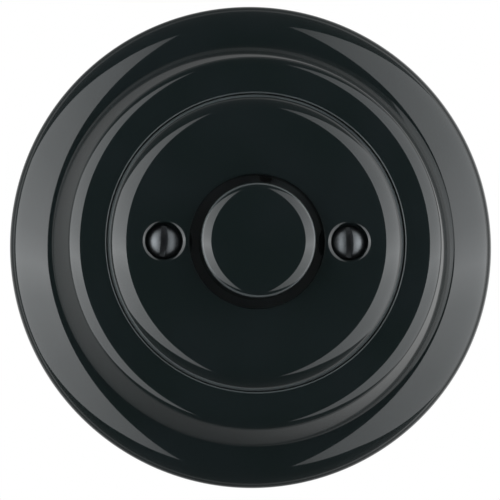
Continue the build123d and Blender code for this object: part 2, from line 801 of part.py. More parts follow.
# Circuit board: clamped between the shells, drilled for every lead
lead_holes = (
    [(film_x, film_z + side * film_lead_pitch / 2) for side in (-1, 1)]
    + [(small_x + side * small_lead_pitch / 2, small_z) for side in (-1, 1)]
    + [(x, resistor_z + side * resistor_lead_span / 2) for x in resistor_places_x for side in (-1, 1)]
    + [(diode_x + side * diode_lead_span / 2, diode_z) for side in (-1, 1)]
    + [(choke_x, choke_z + side * choke_lead_span / 2) for side in (-1, 1)]
    + [(triac_lead_x, triac_z + step * lead_pitch) for step in (-1, 0, 1)]
)
with BuildPart() as circuit_board:
    with BuildSketch(front_plane(board_front)):
        add(shell_outline(board_recess + board_clearance))
        Circle(plunger_radius + board_hole_clearance, mode=Mode.SUBTRACT)
        with Locations((-shell_screw_x, shell_screw_z), (shell_screw_x, shell_screw_z)):
            Circle(shell_screw_radius + shell_bore_clearance, mode=Mode.SUBTRACT)
        with Locations(*lead_holes):
            Circle(wire_radius, mode=Mode.SUBTRACT)
        with Locations(*[(x, tail_z) for x in terminal_places]):
            Circle(tail_radius, mode=Mode.SUBTRACT)
        with Locations((-contact_x, 0), (contact_x, 0)):
            Rectangle(contact_thickness, contact_width, mode=Mode.SUBTRACT)
        with Locations((-fuse_clip_x, fuse_z), (fuse_clip_x, fuse_z)):
            Rectangle(fuse_clip_sheet, fuse_clip_width, mode=Mode.SUBTRACT)
    extrude(amount=-board_thickness)
circuit_board.part.label = "circuit_board"
export_step(circuit_board.part, "parts/circuit_board.step")

# Push switch: a moulded box behind the board
with BuildPart() as switch_housing:
    with BuildSketch(front_plane(board_back)):
        Rectangle(switch_size, switch_size)
    extrude(amount=-switch_depth)
    with BuildSketch(front_plane(board_back - switch_wall)):
        Rectangle(switch_size - 2 * switch_wall, switch_size - 2 * switch_wall)
    extrude(amount=2 * switch_wall - switch_depth, mode=Mode.SUBTRACT)
    with BuildSketch(front_plane(board_back)):
        Circle(plunger_radius + 2 * running_clearance)
        with Locations((-contact_x, 0), (contact_x, 0)):
            Rectangle(contact_thickness, contact_width)
    extrude(amount=-switch_wall, mode=Mode.SUBTRACT)
switch_housing.part.label = "switch_housing"
export_step(switch_housing.part, "parts/switch_housing.step")

# Plunger: pushed by the end of the shaft, held in the box by its flange
with BuildPart() as switch_plunger:
    with BuildSketch(front_plane(flange_front)):
        Circle(plunger_radius)
    extrude(amount=shaft_back - running_clearance - flange_front)
    with BuildSketch(front_plane(flange_front)):
        Circle(plunger_flange_radius)
    extrude(amount=-plunger_flange)
    with BuildSketch(front_plane(flange_front - plunger_flange)):
        Circle(plunger_spigot_radius)
    extrude(amount=-plunger_spigot)
switch_plunger.part.label = "switch_plunger"
export_step(switch_plunger.part, "parts/switch_plunger.step")

# Bridge: the silvered ring on the plunger that joins the two fixed contacts
with BuildPart() as contact_bridge:
    with BuildSketch(front_plane(flange_front - plunger_flange)):
        Circle(plunger_flange_radius)
        Circle(plunger_spigot_radius, mode=Mode.SUBTRACT)
    extrude(amount=-bridge_thickness)
contact_bridge.part.label = "contact_bridge"
export_step(contact_bridge.part, "parts/contact_bridge.step")

# Return spring: from the bridge to the back of the box
spring_front = flange_front - plunger_flange - bridge_thickness - spring_wire
spring_length = spring_front - spring_wire - (switch_back + switch_wall)
with BuildPart() as return_spring:
    with BuildLine():
        coil = Helix(
            pitch=spring_length / spring_turns,
            height=spring_length,
            radius=spring_radius,
            center=(0, -spring_front, 0),
            direction=(0, 1, 0),
        )
    with BuildSketch(Plane(origin=coil @ 0, z_dir=coil % 0)):
        Circle(spring_wire)
    sweep(is_frenet=True)
return_spring.part.label = "return_spring"
export_step(return_spring.part, "parts/return_spring.step")

# Fixed contacts: two bent strips from the board to the path of the bridge
with BuildPart() as fixed_contacts:
    with BuildSketch(front_plane(contact_back)):
        with Locations((-contact_x, 0), (contact_x, 0)):
            Rectangle(contact_thickness, contact_width)
    extrude(amount=board_front - contact_back)
    with BuildSketch(front_plane(contact_back)):
        with Locations((-contact_pad_x, 0), (contact_pad_x, 0)):
            Rectangle(contact_reach, contact_width)
    extrude(amount=contact_thickness)
fixed_contacts.part.label = "fixed_contacts"
export_step(fixed_contacts.part, "parts/fixed_contacts.step")

# Triac: its metal back lies on a thin pad under the plate, which carries its heat away
triac_left = triac_x - triac_body[0] / 2
triac_right = triac_x + triac_body[0] / 2
with BuildPart() as triac:
    with BuildSketch(front_plane(-pad_thickness)):
        with Locations(triac_place):
            Rectangle(triac_body[0], triac_body[1])
    extrude(amount=-triac_body[2])
triac.part.label = "triac"
export_step(triac.part, "parts/triac.step")

with BuildPart() as triac_tab_plate:
    with BuildSketch(front_plane(-pad_thickness)):
        with Locations((triac_hole_x, triac_z)):
            Rectangle(triac_tab[0], triac_tab[1])
            Circle(triac_screw_radius + shell_bore_clearance, mode=Mode.SUBTRACT)
    extrude(amount=-triac_tab[2])
triac_tab_plate.part.label = "triac_tab"
export_step(triac_tab_plate.part, "parts/triac_tab.step")

with BuildPart() as insulating_pad:
    with BuildSketch(front_plane(0)):
        with Locations(((triac_left + triac_right + triac_tab[0]) / 2, triac_z)):
            Rectangle(triac_body[0] + triac_tab[0] + 2 * pad_margin, pad_width)
        with Locations((triac_hole_x, triac_z)):
            Circle(triac_screw_radius + shell_bore_clearance, mode=Mode.SUBTRACT)
    extrude(amount=-pad_thickness)
insulating_pad.part.label = "insulating_pad"
export_step(insulating_pad.part, "parts/insulating_pad.step")

triac_seat = -pad_thickness - triac_tab[2]
with BuildPart() as triac_screw:
    with BuildSketch(front_plane(triac_seat)):
        with Locations((triac_hole_x, triac_z)):
            Circle(triac_screw_head_radius)
    extrude(amount=-triac_screw_head_height)
    with BuildSketch(front_plane(triac_seat)):
        with Locations((triac_hole_x, triac_z)):
            Circle(triac_screw_radius)
    extrude(amount=plate_thickness - triac_seat)
    with BuildSketch(front_plane(triac_seat - triac_screw_head_height)):
        with Locations((triac_hole_x, triac_z)):
            Rectangle(slot_width, 3 * triac_screw_head_radius)
    extrude(amount=slot_depth, mode=Mode.SUBTRACT)
triac_screw.part.label = "triac_screw"
export_step(triac_screw.part, "parts/triac_screw.step")

# Choke: a ferrite rod and the coil wound on it
choke_winding_radius = choke_core_radius + choke_wire / 2 + running_clearance
choke_depth = board_back - choke_wire / 2 - choke_winding_radius - wire_lift
choke_pitch = choke_wire * (1 + winding_space)
choke_wound = choke_turns * choke_pitch
with BuildPart() as choke_core:
    with BuildSketch(Plane.XY.offset(choke_z - choke_core_length / 2)):
        with Locations((choke_x, -choke_depth)):
            Circle(choke_core_radius)
    extrude(amount=choke_core_length)
choke_core.part.label = "choke_core"
export_step(choke_core.part, "parts/choke_core.step")

with BuildPart() as choke_winding:
    with BuildLine():
        turns = Helix(
            pitch=choke_pitch,
            height=choke_wound,
            radius=choke_winding_radius,
            center=(choke_x, -choke_depth, choke_z - choke_wound / 2),
            direction=(0, 0, 1),
        )
    with BuildSketch(Plane(origin=turns @ 0, z_dir=turns % 0)):
        Circle(choke_wire / 2)
    sweep(is_frenet=True)
choke_winding.part.label = "choke_winding"
export_step(choke_winding.part, "parts/choke_winding.step")

# Capacitors: a film block behind the board and a small one in front of it
with BuildPart() as film_capacitor:
    with BuildSketch(front_plane(board_back)):
        with Locations((film_x, film_z)):
            RectangleRounded(film_capacitor_size[0], film_capacitor_size[1], capacitor_edge)
    extrude(amount=-film_capacitor_size[2])
film_capacitor.part.label = "film_capacitor"
export_step(film_capacitor.part, "parts/film_capacitor.step")

with BuildPart() as small_capacitor:
    with BuildSketch(front_plane(board_front)):
        with Locations((small_x, small_z)):
            RectangleRounded(small_capacitor_size[0], small_capacitor_size[1], capacitor_edge)
    extrude(amount=small_capacitor_size[2])
small_capacitor.part.label = "small_capacitor"
export_step(small_capacitor.part, "parts/small_capacitor.step")

# Resistors and trigger diode: small barrels lying on the front of the board
resistor_depth = board_front + resistor_radius + wire_lift
with BuildPart() as resistors:
    with BuildSketch(Plane.XY.offset(resistor_z - resistor_length / 2)):
        with Locations(*[(x, -resistor_depth) for x in resistor_places_x]):
            Circle(resistor_radius)
    extrude(amount=resistor_length)
resistors.part.label = "resistors"
export_step(resistors.part, "parts/resistors.step")

diode_depth = board_front + diode_radius + wire_lift
with BuildPart() as trigger_diode:
    with BuildSketch(Plane.YZ.offset(diode_x - diode_length / 2)):
        with Locations((-diode_depth, diode_z)):
            Circle(diode_radius)
    extrude(amount=diode_length)
trigger_diode.part.label = "trigger_diode"
export_step(trigger_diode.part, "parts/trigger_diode.step")

# Fuse: a glass tube with a cap at each end, a wire inside and two spring clips on the board
fuse_depth = board_back - fuse_lift - fuse_radius
glass_radius = fuse_radius - fuse_wall
with BuildPart() as fuse_tube:
    with BuildSketch(Plane.YZ.offset(-fuse_length / 2 + fuse_wall)):
        with Locations((-fuse_depth, fuse_z)):
            Circle(glass_radius)
            Circle(glass_radius - fuse_wall, mode=Mode.SUBTRACT)
    extrude(amount=fuse_length - 2 * fuse_wall)
fuse_tube.part.label = "fuse_tube"
export_step(fuse_tube.part, "parts/fuse_tube.step")

with BuildPart() as fuse_caps:
    for side in (-1, 1):
        with BuildSketch(Plane.YZ.offset(side * fuse_length / 2)):
            with Locations((-fuse_depth, fuse_z)):
                Circle(fuse_radius)
        extrude(amount=-side * fuse_cap_length)
        with BuildSketch(Plane.YZ.offset(side * (fuse_length / 2 - fuse_wall))):
            with Locations((-fuse_depth, fuse_z)):
                Circle(glass_radius)
        extrude(amount=-side * fuse_cap_length, mode=Mode.SUBTRACT)
fuse_caps.part.label = "fuse_caps"
export_step(fuse_caps.part, "parts/fuse_caps.step")

with BuildPart() as fuse_wire:
    with BuildSketch(Plane.YZ.offset(-fuse_length / 2 + fuse_wall)):
        with Locations((-fuse_depth, fuse_z)):
            Circle(fuse_wall / 2)
    extrude(amount=fuse_length - 2 * fuse_wall)
fuse_wire.part.label = "fuse_wire"
export_step(fuse_wire.part, "parts/fuse_wire.step")

clip_outer = fuse_radius + fuse_clip_sheet
fuse_clip_foot = fuse_lift - fuse_clip_sheet / 2
with BuildPart() as fuse_clips:
    for side in (-1, 1):
        with BuildSketch(Plane.YZ.offset(side * fuse_clip_x - fuse_clip_width / 2)):
            with Locations((-fuse_depth, fuse_z)):
                add(ring_sector(fuse_radius, clip_outer, 180, fuse_clip_angle))
            with Locations((-board_back + fuse_clip_foot / 2, fuse_z)):
                Rectangle(fuse_clip_foot, fuse_clip_width)
        extrude(amount=fuse_clip_width)
        with BuildSketch(front_plane(board_back)):
            with Locations((side * fuse_clip_x, fuse_z)):
                Rectangle(fuse_clip_sheet, fuse_clip_width)
        extrude(amount=board_thickness)
fuse_clips.part.label = "fuse_clips"
export_step(fuse_clips.part, "parts/fuse_clips.step")

# Terminal block: a moulded bar with a cell for each clamp, open behind and below
with BuildPart() as terminal_block:
    with BuildSketch(front_plane(board_back)):
        with Locations((0, block_middle_z)):
            Rectangle(block_size_x, block_top_z - block_bottom_z)
    extrude(amount=shell_inner_back - board_back)
    with BuildSketch(front_plane(shell_inner_back)):
        with Locations(*[(x, wire_z) for x in terminal_places]):
            Rectangle(clamp_size + cell_clearance, clamp_size + cell_clearance)
    extrude(amount=clamp_front - shell_inner_back, mode=Mode.SUBTRACT)
    with BuildSketch(front_plane(clamp_front)):
        with Locations(*[(x, tail_z) for x in terminal_places]):
            Circle(tail_radius)
    extrude(amount=board_back - clamp_front, mode=Mode.SUBTRACT)
    with BuildSketch(Plane.XY.offset(block_bottom_z)):
        with Locations(*[(x, -clamp_middle) for x in terminal_places]):
            Circle(driver_hole_radius)
    extrude(amount=clamp_bottom_z - block_bottom_z, mode=Mode.SUBTRACT)
terminal_block.part.label = "terminal_block"
export_step(terminal_block.part, "parts/terminal_block.step")

# Terminal clamps: brass cages with a bore for the wire, a thread below and a tail to the board
with BuildPart() as terminal_clamps:
    with BuildSketch(front_plane(clamp_front)):
        with Locations(*[(x, wire_z) for x in terminal_places]):
            Rectangle(clamp_size, clamp_size)
            Circle(clamp_wire_radius, mode=Mode.SUBTRACT)
    extrude(amount=-clamp_length)
    with BuildSketch(front_plane(clamp_front)):
        with Locations(*[(x, tail_z) for x in terminal_places]):
            Circle(tail_radius)
    extrude(amount=board_front - clamp_front)
    with BuildSketch(Plane.XY.offset(clamp_bottom_z)):
        with Locations(*[(x, -clamp_middle) for x in terminal_places]):
            Circle(terminal_screw_radius + thread_clearance)
    extrude(amount=clamp_size / 2, mode=Mode.SUBTRACT)
terminal_clamps.part.label = "terminal_clamps"
export_step(terminal_clamps.part, "parts/terminal_clamps.step")

# Terminal screws: backed out, so that a wire can enter
with BuildPart() as terminal_screws:
    with BuildSketch(Plane.XY.offset(terminal_head_z)):
        with Locations(*[(x, -clamp_middle) for x in terminal_places]):
            Circle(terminal_screw_head_radius)
    extrude(amount=terminal_screw_head_height)
    with BuildSketch(Plane.XY.offset(terminal_head_z + terminal_screw_head_height)):
        with Locations(*[(x, -clamp_middle) for x in terminal_places]):
            Circle(terminal_screw_radius)
    extrude(amount=terminal_screw_length)
    with BuildSketch(Plane.XY.offset(terminal_head_z)):
        with Locations(*[(x, -clamp_middle) for x in terminal_places]):
            Rectangle(slot_width, 3 * terminal_screw_head_radius)
    extrude(amount=slot_depth, mode=Mode.SUBTRACT)
terminal_screws.part.label = "terminal_screws"
export_step(terminal_screws.part, "parts/terminal_screws.step")

# Leads: the tinned wires of the parts on the board
with BuildPart() as component_leads:
    for x, z in lead_holes[:4]:
        with BuildSketch(front_plane(board_front)):
            with Locations((x, z)):
                Circle(wire_radius)
        extrude(amount=-board_thickness)
    for x in resistor_places_x:
        for side in (-1, 1):
            add(bent_wire([
                (x, -resistor_depth, resistor_z + side * resistor_length / 2),
                (x, -resistor_depth, resistor_z + side * resistor_lead_span / 2),
                (x, -board_back, resistor_z + side * resistor_lead_span / 2),
            ], wire_radius))
    for side in (-1, 1):
        add(bent_wire([
            (diode_x + side * diode_length / 2, -diode_depth, diode_z),
            (diode_x + side * diode_lead_span / 2, -diode_depth, diode_z),
            (diode_x + side * diode_lead_span / 2, -board_back, diode_z),
        ], wire_radius))
    for step in (-1, 0, 1):
        add(bent_wire([
            (triac_left, -triac_lead_depth, triac_z + step * lead_pitch),
            (triac_lead_x, -triac_lead_depth, triac_z + step * lead_pitch),
            (triac_lead_x, -board_back, triac_z + step * lead_pitch),
        ], wire_radius))
    for side in (-1, 1):
        with BuildSketch(front_plane(board_front)):
            with Locations((choke_x, choke_z + side * choke_lead_span / 2)):
                Circle(wire_radius)
        extrude(amount=choke_depth + choke_core_radius - board_front)
component_leads.part.label = "component_leads"
export_step(component_leads.part, "parts/component_leads.step")
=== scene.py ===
# %% [markdown]
# # A rotary dimmer in black glazed porcelain
# The object is a round flush dimmer: a stepped porcelain ring, a porcelain cover held by two
# slotted screws, and a knob that turns and can be pushed. Behind the wall sits the insert with
# its board and terminals. The engineering model is already there as a fixed frame, so this
# lesson only dresses it: smooth glazed surfaces, metal, plastics, a floor and studio light.

# %% Open the frame
import json
import math
import bmesh
import bpy
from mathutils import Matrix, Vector


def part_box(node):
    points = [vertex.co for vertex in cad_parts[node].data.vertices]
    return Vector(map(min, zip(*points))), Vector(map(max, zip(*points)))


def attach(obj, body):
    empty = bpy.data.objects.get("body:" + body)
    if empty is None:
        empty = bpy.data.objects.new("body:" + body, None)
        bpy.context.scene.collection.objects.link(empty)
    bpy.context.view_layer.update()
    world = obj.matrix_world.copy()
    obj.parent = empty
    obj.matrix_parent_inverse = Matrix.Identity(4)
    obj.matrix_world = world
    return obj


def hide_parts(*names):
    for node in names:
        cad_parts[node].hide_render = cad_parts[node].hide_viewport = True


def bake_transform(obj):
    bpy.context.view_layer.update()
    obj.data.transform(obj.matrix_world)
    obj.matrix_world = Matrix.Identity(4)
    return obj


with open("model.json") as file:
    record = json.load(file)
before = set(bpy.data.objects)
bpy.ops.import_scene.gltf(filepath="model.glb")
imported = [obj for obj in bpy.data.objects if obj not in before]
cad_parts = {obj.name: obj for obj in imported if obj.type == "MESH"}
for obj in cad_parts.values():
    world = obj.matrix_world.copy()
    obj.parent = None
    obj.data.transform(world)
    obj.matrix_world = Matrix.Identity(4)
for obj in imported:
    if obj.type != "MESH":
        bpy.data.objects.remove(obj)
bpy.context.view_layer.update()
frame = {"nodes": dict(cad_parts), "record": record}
MM = 0.001

# %% [markdown]
# ## Colours and shader nodes
# Colours are written as the hex codes that a colour picker shows. Blender mixes light in linear
# numbers, so one function turns the code into those. A second small function adds a shader node,
# fills in its settings and plugs in its links, which keeps each material short enough to read.


# %% One function for colour, one for nodes
def colour(hex_code):
    """An sRGB hex code as linear red, green, blue and a full alpha."""
    levels = [int(hex_code[place:place + 2], 16) / 255 for place in (0, 2, 4)]
    linear = [v / 12.92 if v <= 0.04045 else ((v + 0.055) / 1.055) ** 2.4 for v in levels]
    return (*linear, 1.0)


def add_node(tree, kind, links=None, **settings):
    """Adds a node. A setting fills an input of that name, or else a property of the node."""
    node = tree.nodes.new(kind)
    for name, value in settings.items():
        socket = node.inputs.get(name.replace("_", " "))
        if socket is not None:
            socket.default_value = value
        else:
            setattr(node, name, value)
    for name, source in (links or {}).items():
        tree.links.new(source, node.inputs[name])
    return node


def set_ramp(ramp, stops):
    """Gives a colour ramp its stops, each a place from 0 to 1 and a colour."""
    points = ramp.color_ramp.elements
    while len(points) < len(stops):
        points.new(1.0)
    for point, (place, tone) in zip(points, stops):
        point.position = place
        point.color = tone


def new_material(name):
    """An empty material and its node tree."""
    material = bpy.data.materials.new(name)
    material.use_nodes = True
    material.node_tree.nodes.clear()
    return material, material.node_tree


def finish_surface(tree, shader):
    """Plugs a shader into the material's surface."""
    add_node(tree, "ShaderNodeOutputMaterial", {"Surface": shader.outputs[0]})


print("a very dark grey in linear numbers", [round(v, 4) for v in colour("151A1A")])

# %% [markdown]
# ## Black porcelain glaze
# Electrical porcelain is cast, dipped in glaze and fired at about 1400 degrees. The glaze is a
# layer of glass, so its index is near 1.5 and it is almost a mirror at low brightness. It flows
# while it is molten and sets with long shallow waves about a centimetre apart. Those waves are a
# few hundredths of a millimetre high: they don't show as form, but they make the edges of the
# mirrored lamps wander a little, and that is what tells the eye glaze from moulded plastic. On
# the long waves lies a finer and much lower ripple, like the peel of an orange. Over the tight
# edges a paler, rougher glaze is laid on as a fine line, a painted highlight.


# %% Glaze on fired porcelain
FLOW_MM = 14
FLOW_HEIGHT_MM = 0.02
PEEL_FINENESS = 4
PEEL_SHARE = 1 / 14


def glaze(name, body_hex, flow_mm, flow_height_mm, roughness):
    """Fired gloss glaze over a coloured body."""
    material, tree = new_material(name)
    place = add_node(tree, "ShaderNodeTexCoord")
    flow = add_node(tree, "ShaderNodeTexNoise", {"Vector": place.outputs["Object"]},
                    Scale=1 / (flow_mm * MM), Detail=1.0, Roughness=0.4)
    peel = add_node(tree, "ShaderNodeTexNoise", {"Vector": place.outputs["Object"]},
                    Scale=PEEL_FINENESS / (flow_mm * MM), Detail=1.0, Roughness=0.4)
    waves = add_node(tree, "ShaderNodeBump", {"Height": flow.outputs["Fac"]},
                     Strength=1.0, Distance=flow_height_mm * MM)
    surface = add_node(tree, "ShaderNodeBump",
                       {"Height": peel.outputs["Fac"], "Normal": waves.outputs["Normal"]},
                       Strength=1.0, Distance=flow_height_mm * MM * PEEL_SHARE)
    depth = add_node(tree, "ShaderNodeValToRGB", {"Fac": flow.outputs["Fac"]})
    set_ramp(depth, [(0.35, colour(body_hex[0])), (0.65, colour(body_hex[1]))])
    shader = add_node(tree, "ShaderNodeBsdfPrincipled",
                      {"Base Color": depth.outputs["Color"], "Normal": surface.outputs["Normal"]},
                      Roughness=roughness, IOR=1.52)
    finish_surface(tree, shader)
    return material


black_glaze = glaze("fired_black_glaze", ("121919", "151B1C"), FLOW_MM, FLOW_HEIGHT_MM, 0.04)
# A paler, rougher copy of the black glaze, laid on tight edges as a painted highlight line.
edge_highlight_glaze = glaze("black_glaze_painted_edge_highlight", ("3E4344", "464B4C"), FLOW_MM, FLOW_HEIGHT_MM, 0.12)
print("made", black_glaze.name, edge_highlight_glaze.name)

# %% [markdown]
# ## Metals
# Each metal part here is bare or thinly plated, so its colour is its reflection. What differs is
# the surface: the cover screws are blackened steel, tumbled to a soft shine; small steel parts
# are zinc plated over faint drawing lines; brass pieces are turned, which leaves fine rings.


# %% Metal surfaces
SHEEN_SPREAD = 0.2


def worked_metal(name, hexes, roughness, grain_mm, stretch=(1, 1, 1), depth_mm=0.002):
    """A bare or plated metal with the marks of how it was worked, drawn at grain_mm."""
    material, tree = new_material(name)
    place = add_node(tree, "ShaderNodeTexCoord")
    line = add_node(tree, "ShaderNodeMapping", {"Vector": place.outputs["Object"]}, Scale=stretch)
    grain = add_node(tree, "ShaderNodeTexNoise", {"Vector": line.outputs["Vector"]},
                     Scale=1 / (grain_mm * MM), Detail=3.0)
    tone = add_node(tree, "ShaderNodeValToRGB", {"Fac": grain.outputs["Fac"]})
    set_ramp(tone, [(0, colour(hexes[0])), (1, colour(hexes[1]))])
    sheen = add_node(tree, "ShaderNodeMapRange", {"Value": grain.outputs["Fac"]})
    sheen.inputs["To Min"].default_value = roughness * (1 - SHEEN_SPREAD)
    sheen.inputs["To Max"].default_value = roughness * (1 + SHEEN_SPREAD)
    marks = add_node(tree, "ShaderNodeBump", {"Height": grain.outputs["Fac"]},
                     Strength=0.6, Distance=depth_mm * MM)
    shader = add_node(tree, "ShaderNodeBsdfPrincipled",
                      {"Base Color": tone.outputs["Color"], "Roughness": sheen.outputs["Result"],
                       "Normal": marks.outputs["Normal"]},
                      Metallic=1.0)
    finish_surface(tree, shader)
    return material


blackened_steel = worked_metal("blackened_tumbled_steel", ("545759", "6C6F71"), 0.42, 0.35, depth_mm=0.004)
zinc_plate = worked_metal("zinc_plated_steel", ("9DA1A3", "C2C5C6"), 0.34, 0.5, (1, 1, 12))
spring_steel = worked_metal("drawn_spring_steel", ("8C8E90", "ABADAF"), 0.25, 0.2)
turned_brass = worked_metal("turned_brass", ("B58D4A", "D2AC63"), 0.28, 0.25, (1, 8, 1))
rolled_bronze = worked_metal("rolled_phosphor_bronze", ("A5714A", "C08A5C"), 0.3, 0.3, (1, 1, 6))
tinned_copper = worked_metal("tinned_copper", ("B6B6B0", "D0D0CA"), 0.3, 0.4)
enamelled_copper = worked_metal("enamelled_copper_wire", ("8E4A22", "A85C2C"), 0.22, 0.6)
print("metals", 7)

# %% [markdown]
# ## Moulded and pressed insulating parts
# The shells are thermoset moulded in spark-eroded tools, which leaves a fine even grain. The
# board is glass cloth under a green mask, the wafer is pressed paper, and the small parts are
# lacquered or dipped. The steel plate has a phosphate coat, a matt layer of grey crystals that
# hides the metal; its grey, darker than zinc, is partly painted shade that keeps the gap round
# the knob dark. All of them are dielectrics, so one function serves: two tones, a grain size in
# millimetres and a roughness.


# %% Insulating materials
def moulded(name, hexes, roughness, grain_mm, depth_mm=0.01, ior=1.5, weave=False):
    """A plastic, laminate, ferrite, lacquer or matt coat with a grain drawn at grain_mm."""
    material, tree = new_material(name)
    place = add_node(tree, "ShaderNodeTexCoord")
    if weave:
        grain = add_node(tree, "ShaderNodeTexChecker", {"Vector": place.outputs["Object"]},
                         Scale=1 / (grain_mm * MM))
    else:
        grain = add_node(tree, "ShaderNodeTexNoise", {"Vector": place.outputs["Object"]},
                         Scale=1 / (grain_mm * MM), Detail=4.0)
    tone = add_node(tree, "ShaderNodeValToRGB", {"Fac": grain.outputs["Fac"]})
    set_ramp(tone, [(0, colour(hexes[0])), (1, colour(hexes[1]))])
    pits = add_node(tree, "ShaderNodeBump", {"Height": grain.outputs["Fac"]},
                    Strength=0.7, Distance=depth_mm * MM)
    shader = add_node(tree, "ShaderNodeBsdfPrincipled",
                      {"Base Color": tone.outputs["Color"], "Normal": pits.outputs["Normal"]},
                      Roughness=roughness, IOR=ior)
    finish_surface(tree, shader)
    return material


black_thermoset = moulded("moulded_black_thermoset", ("1E1F20", "2A2B2C"), 0.5, 0.35, 0.02)
grey_plastic = moulded("moulded_grey_polyamide", ("86898B", "97999B"), 0.45, 0.4, 0.015)
white_nylon = moulded("moulded_white_nylon", ("DAD7CC", "E6E3DA"), 0.4, 0.5, 0.01, ior=1.53)
board_laminate = moulded("green_masked_glass_laminate", ("1D5A30", "256B3A"), 0.3, 0.4, 0.006, weave=True)
paper_laminate = moulded("pressed_brown_paper_laminate", ("6E4527", "7F5230"), 0.5, 0.3, 0.01)
carbon_print = moulded("printed_carbon_film", ("141414", "222222"), 0.6, 0.15, 0.004)
ferrite = moulded("sintered_ferrite", ("242526", "323335"), 0.55, 0.2, 0.01)
yellow_case = moulded("moulded_yellow_capacitor_case", ("D9B02C", "E2BC3C"), 0.35, 0.6, 0.008)
red_dip = moulded("dipped_red_lacquer", ("8E2A1C", "A03424"), 0.25, 1.2, 0.02)
tan_lacquer = moulded("tan_resistor_lacquer", ("B99A6C", "C9AB7E"), 0.35, 0.5, 0.01)
# Dark matt grey for the plate: a coat, and partly painted shade for the gap round the knob.
plate_coat_and_gap_shade = moulded("matt_plate_coat_and_painted_gap_shade", ("6A7274", "7C8486"), 0.8, 0.3, 0.006)
silicone = moulded("grey_silicone_rubber", ("8F9294", "A1A4A6"), 0.7, 0.3, 0.01, ior=1.41)
print("insulating materials", 12)

# %% [markdown]
# ## Glass of the fuse
# The fuse is a drawn soda-lime tube, index 1.52, clear with a very faint green edge. A real glass
# shader with transmission shows the wire inside it. Faint draw lines run along the tube.


# %% Drawn glass
DRAW_LINE_MM = 1.5


def drawn_glass(name, hex_code):
    """Clear drawn glass tube."""
    material, tree = new_material(name)
    place = add_node(tree, "ShaderNodeTexCoord")
    line = add_node(tree, "ShaderNodeMapping", {"Vector": place.outputs["Object"]}, Scale=(0.1, 1, 1))
    draw = add_node(tree, "ShaderNodeTexNoise", {"Vector": line.outputs["Vector"]},
                    Scale=1 / (DRAW_LINE_MM * MM))
    waves = add_node(tree, "ShaderNodeBump", {"Height": draw.outputs["Fac"]},
                     Strength=0.3, Distance=0.01 * MM)
    shader = add_node(tree, "ShaderNodeBsdfPrincipled", {"Normal": waves.outputs["Normal"]},
                      Base_Color=colour(hex_code), Roughness=0.02, IOR=1.52, Transmission_Weight=1.0)
    finish_surface(tree, shader)
    return material


clear_glass = drawn_glass("drawn_soda_lime_glass", "EAF2EC")
print("made", clear_glass.name)

# %% [markdown]
# ## Finishes on the pieces of the frame
# Every node of the engineering model names its finish. The pieces that stay as they are only get
# the material of that name, and the plate gets its phosphate coat, whose dark grey is partly
# painted shade for the gap round the knob. The porcelain and the cover screws are made again
# below, because a mirror-like glaze shows the flat facets of an exchange mesh.

# %% Dress the nodes
finishes = {
    "black_glaze": black_glaze, "blackened_steel": blackened_steel, "zinc_steel": zinc_plate,
    "spring_steel": spring_steel, "brass": turned_brass, "black_thermoset": black_thermoset,
    "grey_plastic": grey_plastic, "board_laminate": board_laminate,
    "brown_paper_laminate": paper_laminate, "carbon_track": carbon_print,
    "white_nylon": white_nylon, "bronze": rolled_bronze, "tinned_copper": tinned_copper,
    "enamelled_copper": enamelled_copper, "ferrite": ferrite, "yellow_capacitor": yellow_case,
    "red_capacitor": red_dip, "resistor_lacquer": tan_lacquer, "clear_glass": clear_glass,
    "silicone_pad": silicone,
}
for subpart in frame["record"]["subparts"]:
    finish = finishes[subpart["material_slot"]]
    # The plate's darker grey partly paints the shade in the gap round the knob.
    if subpart["node"] == "support_plate":
        finish = plate_coat_and_gap_shade
    for place in frame["nodes"][subpart["node"]].material_slots:
        place.material = finish

# %% [markdown]
# ## How a turned shape is made
# Frame, cover and knob were turned on a wheel, so each is one outline swept round an axis. An
# outline is a list of (radius, height) points in millimetres, the height counted from the wall
# towards the room. Curved stretches come from two helpers, a Bezier bend and a round turn. The
# rings are finely divided, since a glossy surface shows every flat it has.


# %% Outline helpers
def uphill(point, degrees, reach):
    """The point that lies a reach further inward along a slope that climbs to the centre."""
    angle = math.radians(degrees)
    return (point[0] - reach * math.cos(angle), point[1] + reach * math.sin(angle))


def bend(start, first, second, end, steps):
    """A cubic Bezier curve from start to end."""
    points = []
    for step in range(steps + 1):
        t = step / steps
        weights = ((1 - t) ** 3, 3 * t * (1 - t) ** 2, 3 * t * t * (1 - t), t ** 3)
        controls = (start, first, second, end)
        points.append(tuple(sum(w * c[axis] for w, c in zip(weights, controls)) for axis in (0, 1)))
    return points


def turn(centre, radius, start_degrees, sweep_degrees, steps):
    """A round stretch about a centre."""
    angles = [math.radians(start_degrees + sweep_degrees * step / steps) for step in range(steps + 1)]
    return [(centre[0] + radius * math.cos(a), centre[1] + radius * math.sin(a)) for a in angles]


def straight(start, end, steps):
    """A straight stretch cut into short pieces."""
    return [tuple(a + (b - a) * step / steps for a, b in zip(start, end)) for step in range(steps + 1)]


def without_repeats(points):
    """The outline with points that coincide taken out."""
    kept = [points[0]]
    for point in points[1:]:
        if math.dist(point, kept[-1]) > 1e-4:
            kept.append(point)
    return kept


print("a quarter turn has", len(turn((0, 0), 1, 0, 90, 8)), "points")


# %% Rings and skins
SHARP_DEGREES = 32
FORWARD_Y = -0.1


def add_ring(mesh, radius, height, segments, centre_x=0.0):
    """A ring of vertices, or one vertex where the outline meets the axis."""
    if radius < 1e-6:
        return [mesh.verts.new((centre_x * MM, -height * MM, 0))]
    ring = []
    for step in range(segments):
        angle = 2 * math.pi * step / segments
        ring.append(mesh.verts.new(((centre_x + radius * math.cos(angle)) * MM, -height * MM,
                                    radius * math.sin(angle) * MM)))
    return ring


def join_rings(mesh, first, second):
    """Faces between two rings."""
    count = max(len(first), len(second))
    for step in range(count):
        after = (step + 1) % count
        corners = [first[step % len(first)], first[after % len(first)],
                   second[after % len(second)], second[step % len(second)]]
        mesh.faces.new(list(dict.fromkeys(corners)))


